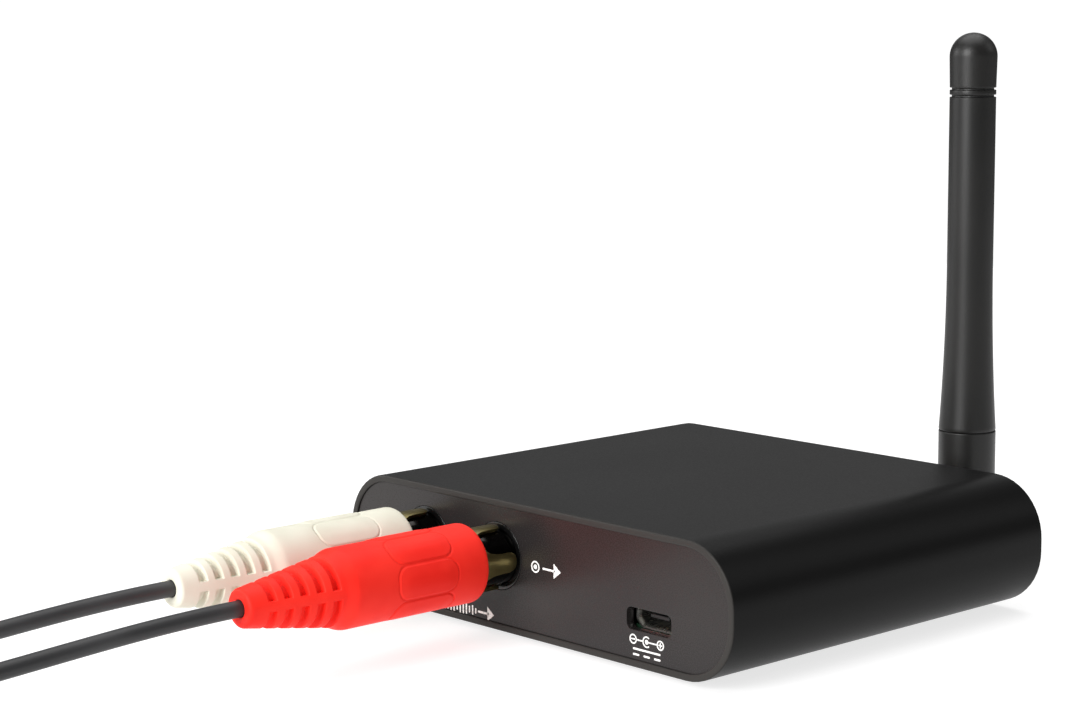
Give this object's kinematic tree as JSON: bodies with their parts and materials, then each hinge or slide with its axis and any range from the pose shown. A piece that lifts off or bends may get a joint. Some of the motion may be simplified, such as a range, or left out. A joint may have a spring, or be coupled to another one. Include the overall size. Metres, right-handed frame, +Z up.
{
  "type": "bluetooth audio receiver",
  "caption": "Black aluminium wireless audio receiver with a tilting whip aerial, phono output sockets, a small power socket and red and white plug leads.",
  "frame": {"origin": "on the surface the receiver stands on, at the middle of the box round the receiver without its leads", "axes": "+Z up; -Y is the way the socket panel faces; +Y is towards the aerial; +X is to the right seen from the socket side"},
  "size_m": [0.0976, 0.2859, 0.0883],
  "materials": {
    "anodised_aluminium": "black anodised, satin",
    "dark_panel": "warm dark grey, satin",
    "black_rubber": "matt black",
    "circuit_board": "green solder mask",
    "black_nickel": "black nickel, glossy",
    "white_plastic": "white, smooth",
    "red_plastic": "red, smooth",
    "gold_plate": "gold plated",
    "nickel": "nickel plated",
    "black_plastic": "glossy black",
    "clear_plastic": "clear moulded plastic",
    "aerial_plastic": "black, fine matt",
    "white_plug_plastic": "cream white, soft satin",
    "red_plug_plastic": "bright red, soft satin",
    "cord_jacket": "dark grey, satin"
  },
  "bodies": {
    "receiver": {"aerial_panel": "dark_panel", "aerial_plug_core": "gold_plate", "aerial_socket": "gold_plate", "audio_chip": "black_plastic", "case_sleeve": "anodised_aluminium", "circuit_board": "circuit_board", "foot_back_left": "black_rubber", "foot_back_right": "black_rubber", "foot_front_left": "black_rubber", "foot_front_right": "black_rubber", "jack_panel": "dark_panel", "left_coupling_capacitor": "nickel", "left_socket_barrel": "black_nickel", "left_socket_contact": "gold_plate", "left_socket_liner": "white_plastic", "light_pipe": "clear_plastic", "lock_washer": "nickel", "module_shield": "nickel", "panel_nut": "gold_plate", "pigtail_coax": "black_plastic", "pigtail_plug": "gold_plate", "power_lamp": "white_plastic", "radio_module": "circuit_board", "right_coupling_capacitor": "nickel", "right_socket_barrel": "black_nickel", "right_socket_contact": "gold_plate", "right_socket_liner": "red_plastic", "socket_block": "black_plastic", "usb_shell": "nickel", "usb_tongue": "black_plastic"},
    "coupling_nut": {"coupling_nut": "gold_plate"},
    "swivel_base": {"swivel_base": "aerial_plastic"},
    "aerial_arm": {"aerial_cover": "aerial_plastic", "fork_knuckle": "aerial_plastic", "hinge_pin": "nickel", "radiator_tube": "gold_plate"},
    "left_lead": {"left_far_plug_body": "white_plug_plastic", "left_far_plug_core": "white_plastic", "left_far_plug_pin": "gold_plate", "left_far_plug_ring": "gold_plate", "left_lead_coil": "cord_jacket", "left_lead_cord": "cord_jacket", "left_lead_tail": "cord_jacket", "left_lead_tie": "black_rubber", "left_plug_body": "white_plug_plastic", "left_plug_core": "white_plastic", "left_plug_pin": "gold_plate", "left_plug_ring": "gold_plate"},
    "right_lead": {"right_far_plug_body": "red_plug_plastic", "right_far_plug_core": "white_plastic", "right_far_plug_pin": "gold_plate", "right_far_plug_ring": "gold_plate", "right_lead_coil": "cord_jacket", "right_lead_cord": "cord_jacket", "right_lead_tail": "cord_jacket", "right_lead_tie": "black_rubber", "right_plug_body": "red_plug_plastic", "right_plug_core": "white_plastic", "right_plug_pin": "gold_plate", "right_plug_ring": "gold_plate"}
  },
  "joints": [
    {"name": "coupling_nut_turn", "type": "hinge", "parent": "receiver", "child": "coupling_nut", "pos_m": [0.0116, 0.03327, 0.0108], "axis": [0, 1, 0], "continuous": true},
    {"name": "aerial_swivel", "type": "hinge", "parent": "receiver", "child": "swivel_base", "pos_m": [0.0116, 0.03837, 0.0108], "axis": [0, 1, 0], "range_deg": [-90, 90]},
    {"name": "aerial_tilt", "type": "hinge", "parent": "swivel_base", "child": "aerial_arm", "pos_m": [0.0116, 0.04623, 0.0108], "axis": [1, 0, 0], "range_deg": [-90, 0]},
    {"name": "left_lead_pull", "type": "slide", "parent": "receiver", "child": "left_lead", "axis": [0, -1, 0], "range_m": [0, 0.016]},
    {"name": "right_lead_pull", "type": "slide", "parent": "receiver", "child": "right_lead", "axis": [0, -1, 0], "range_m": [0, 0.016]}
  ]
}
